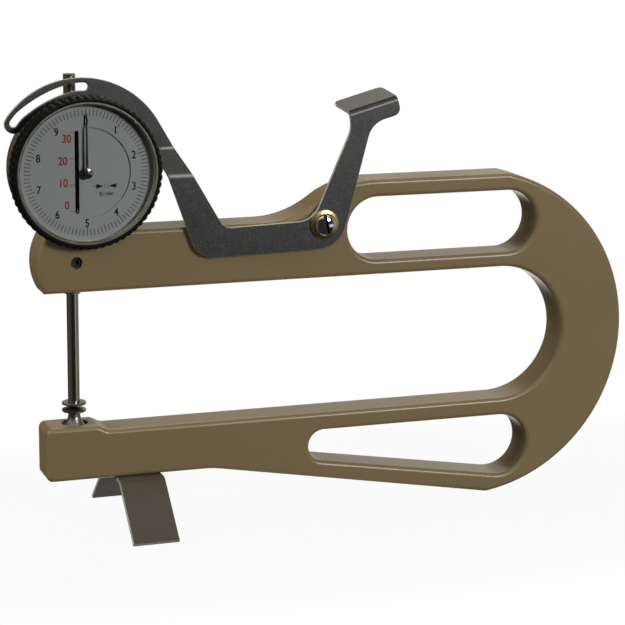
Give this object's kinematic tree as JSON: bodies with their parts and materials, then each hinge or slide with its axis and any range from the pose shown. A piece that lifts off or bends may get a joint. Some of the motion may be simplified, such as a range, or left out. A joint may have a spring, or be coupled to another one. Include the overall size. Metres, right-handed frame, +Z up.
{
  "type": "dial thickness gauge",
  "caption": "Deep C-frame thickness gauge: dial indicator with sprung plunger over a fixed anvil, slotted lifting lever with thumb tab, and a splayed sheet foot.",
  "frame": {"origin": "middle of the bounding box in plan, on the table under the foot and heel", "axes": "+X along the arms from the measuring spindle to the back of the throat, +Y away from the reader of the dial, +Z up along the spindle"},
  "size_m": [0.252, 0.0664, 0.1743],
  "materials": {
    "paint": "semi-gloss grey-beige paint on an aluminium casting",
    "lever_black": "satin dark finish",
    "foot_grey": "satin grey-brown finish",
    "steel": "ground",
    "dark_steel": "blackened",
    "bright": "polished",
    "brass": "turned",
    "case_metal": "satin",
    "bezel_black": "moulded black",
    "dial_print": "matt printed face",
    "pointer_black": "matt black",
    "crystal": "clear"
  },
  "bodies": {
    "gauge_frame": {"frame": "paint", "foot": "foot_grey", "foot_screws": "steel", "anvil": "bright", "anvil_clamp_screw": "dark_steel", "stem_clamp_screw": "dark_steel", "case": "case_metal", "stem": "steel", "lower_bush": "steel", "upper_bush": "steel", "back_cover": "case_metal", "cover_screws": "steel", "movement_plate": "brass", "rear_bridge": "brass", "bridge_screws": "steel", "pinion_bushes": "brass", "dial_plate": "dial_print", "spring_post": "steel", "return_spring": "steel", "pivot_bush": "steel", "brass_washer": "brass", "pivot_screw": "bright"},
    "spindle": {"plunger": "steel", "contact_disc": "bright", "guide_pin": "steel", "lift_pin": "dark_steel", "spring_pin": "steel"},
    "pointer_shaft": {"pinion": "steel", "pointer": "pointer_black"},
    "bezel_ring": {"bezel": "bezel_black", "scale_ring": "dial_print", "crystal": "crystal", "crystal_ring": "bright"},
    "lift_lever": {"lever": "lever_black"}
  },
  "joints": [
    {"name": "plunger_slide", "type": "slide", "parent": "gauge_frame", "child": "spindle", "axis": [0, 0, 1], "range_m": [0, 0.025], "stiffness_N_per_m": 30, "springref_m": -0.05, "deforming": ["return_spring"]},
    {"name": "pointer_spin", "type": "hinge", "parent": "gauge_frame", "child": "pointer_shaft", "pos_m": [-0.09711, 0, 0.1389], "axis": [0, 1, 0], "range_deg": [0, 902]},
    {"name": "lever_pivot", "type": "hinge", "parent": "gauge_frame", "child": "lift_lever", "pos_m": [-0.00371, 0, 0.1148], "axis": [0, 1, 0], "range_deg": [0, 18.7]},
    {"name": "bezel_turn", "type": "hinge", "parent": "gauge_frame", "child": "bezel_ring", "pos_m": [-0.09711, 0, 0.1389], "axis": [0, 1, 0], "continuous": true}
  ],
  "couplings": [
    {"joint": "pointer_spin", "follows": "plunger_slide", "rad_per_m": 628.32},
    {"joint": "lever_pivot", "follows": "plunger_slide", "rad_per_m": 12.915}
  ]
}
